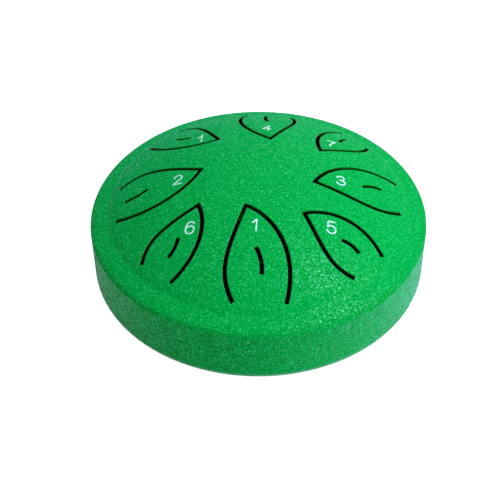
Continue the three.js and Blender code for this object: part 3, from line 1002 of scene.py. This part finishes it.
# Finishes and pieces
coats = [
    powder_coat("green_wall", grains=1700.0, depth=0.001, greens=WALL_GREENS, gloss=(0.0, 1.0),
                Coat_IOR=1.2, Sheen_Weight=1.0, Sheen_Roughness=0.2, Sheen_Tint=(0.48, 0.95, 0.78, 1)),
    powder_coat("green_top", grains=2050.0, depth=0.0005, greens=TOP_GREENS, gloss=(0.0, 0.3),
                Coat_IOR=2.0, Sheen_Weight=0.1, Sheen_Roughness=0.4, Sheen_Tint=(0, 0.75, 1, 1)),
    powder_coat("green_neck", grains=2050.0, depth=0.0005, greens=TOP_GREENS, gloss=(0.1, 1.0),
                Coat_IOR=1.22, Sheen_Weight=0.8, Sheen_Roughness=0.15, Sheen_Tint=(0.3, 0.9, 1, 1)),
    powder_coat("green_edge", grains=1900.0, depth=0.0005, greens=TOP_GREENS, gloss=(0.0, 1.0),
                Coat_IOR=1.5, Sheen_Weight=0.3, Sheen_Roughness=0.4, Sheen_Tint=(0.3, 0.9, 1, 1)),
    # The last two finishes are painted shade: the cut walls and the inside of the drum are coloured
    # dark for the shade there
    thin_coat_painted_shade("cut_walls_painted_shade", srgb(10, 84, 8), srgb(26, 120, 20)),
    thin_coat_painted_shade("inside_painted_shade", srgb(6, 18, 8), srgb(14, 34, 14)),
]
rubber, zinc, ink = moulded_rubber(), zinc_plate(), white_ink()
feet = [span(f"foot_{number}") for number in range(1, 5)]
foot_places = [(low + high)[:2] / 2 for low, high in feet]

place_piece("cup", mesh_from("cup", cup_skin()), coats, stands_for="top_shell")
place_piece("plate", mesh_from("plate", plate_skin(foot_places)), coats,
            stands_for="base_plate")
for number, (box, plan) in enumerate(zip(feet, foot_places), 1):
    place_foot(number, box, plan, rubber, zinc)
for name in STROKES:
    numeral = mesh_from("numeral", numeral_skin(name), SHARP)
    place_piece(f"numeral_{name}", numeral, [ink])


def floor_finish():
    """Pale floor that the camera sees as plain white, with the drum's shadow left on it. A painted
    shadow under the drum leaves it dark and without glow, so that nothing pale shows through the
    cuts and the sound hole."""
    material = bpy.data.materials.new("pale_floor")
    material.use_nodes = True
    tree = material.node_tree
    shader = tree.nodes["Principled BSDF"]
    shader.inputs["Roughness"].default_value = 0.9
    shader.inputs["Specular IOR Level"].default_value = 0.0
    shader.inputs["Emission Color"].default_value = (1, 1, 1, 1)
    spot = add_node(tree, "ShaderNodeTexCoord").outputs["Object"]
    from_axis = add_node(tree, "ShaderNodeVectorMath", {0: spot}, operation="LENGTH")
    # Painted shadow: the floor is coloured dark and does not glow under the drum
    floor_outside_painted_shadow = between(tree, from_axis.outputs["Value"], FLOOR_PAINTED_SHADOW * CUP_RADIUS * MM,
                         FLOOR_PAINTED_SHADOW_END * CUP_RADIUS * MM)
    tree.links.new(blend_colours(tree, floor_outside_painted_shadow, srgb(20, 20, 20), srgb(230, 230, 230)),
                   shader.inputs["Base Color"])
    seen = calculate(tree, "MULTIPLY", floor_outside_painted_shadow, seen_directly(tree))
    glow = calculate(tree, "MULTIPLY", seen, FLOOR_GLOW)
    tree.links.new(glow, shader.inputs["Emission Strength"])
    return material


def seen_directly(tree):
    """1 for what the camera sees, also in a reflection or through glass, and 0 for soft light."""
    rays = add_node(tree, "ShaderNodeLightPath").outputs
    seen = rays["Is Camera Ray"]
    for kind in ("Is Glossy Ray", "Is Transmission Ray"):
        seen = calculate(tree, "MAXIMUM", seen, rays[kind])
    return seen


def studio():
    """White surroundings whose own light is soft, a pale floor, and soft boxes round the drum."""
    world = bpy.data.worlds.new("white_studio")
    bpy.context.scene.world = world
    world.use_nodes = True
    tree = world.node_tree
    background = tree.nodes["Background"]
    background.inputs["Color"].default_value = (1, 1, 1, 1)
    strength = between(tree, seen_directly(tree), 0, 1, ROOM_LIGHT, 1.0)
    tree.links.new(strength, background.inputs["Strength"])

    half = FLOOR_SIZE / 2
    mesh = bpy.data.meshes.new("floor")
    corners = [(-half, -half, 0), (half, -half, 0), (half, half, 0), (-half, half, 0)]
    mesh.from_pydata(corners, [], [(0, 1, 2, 3)])
    mesh.materials.append(floor_finish())
    floor = bpy.data.objects.new("floor", mesh)
    bpy.context.scene.collection.objects.link(floor)

    for name, (place, size, share, colour) in SOFT_BOXES.items():
        lamp = bpy.data.lights.new(name, "AREA")
        lamp.size = size
        lamp.color = colour
        distance = Vector(place).length
        lamp.energy = share * (math.pi * distance) ** 2  # in watts
        box = bpy.data.objects.new(name, lamp)
        box.location = place
        box.rotation_euler = (-Vector(place)).to_track_quat("-Z", "Y").to_euler()
        bpy.context.scene.collection.objects.link(box)


def photo_camera():
    """Camera at the photograph's place, found from the drum's outline, its rim and its tongues."""
    data = bpy.data.cameras.new("camera")
    data.sensor_width = CAMERA_SENSOR
    data.lens = CAMERA_LENS
    camera = bpy.data.objects.new("camera", data)
    camera.matrix_world = (
        Matrix.Rotation(math.radians(CAMERA_SIDESTEP), 4, "Z")
        @ Matrix.Translation((0, 0, WALL_FOOT * MM))
        @ Matrix.Rotation(math.pi / 2 - math.radians(CAMERA_RISE), 4, "X")
        @ Matrix.Rotation(math.radians(CAMERA_ROLL), 4, "Z")
        @ Matrix.Translation((-CAMERA_RIGHT * MM, CAMERA_DOWN * MM, CAMERA_DISTANCE * MM))
    )
    bpy.context.scene.collection.objects.link(camera)
    bpy.context.scene.camera = camera


studio()
photo_camera()

bpy.context.scene.view_settings.view_transform = "Standard"
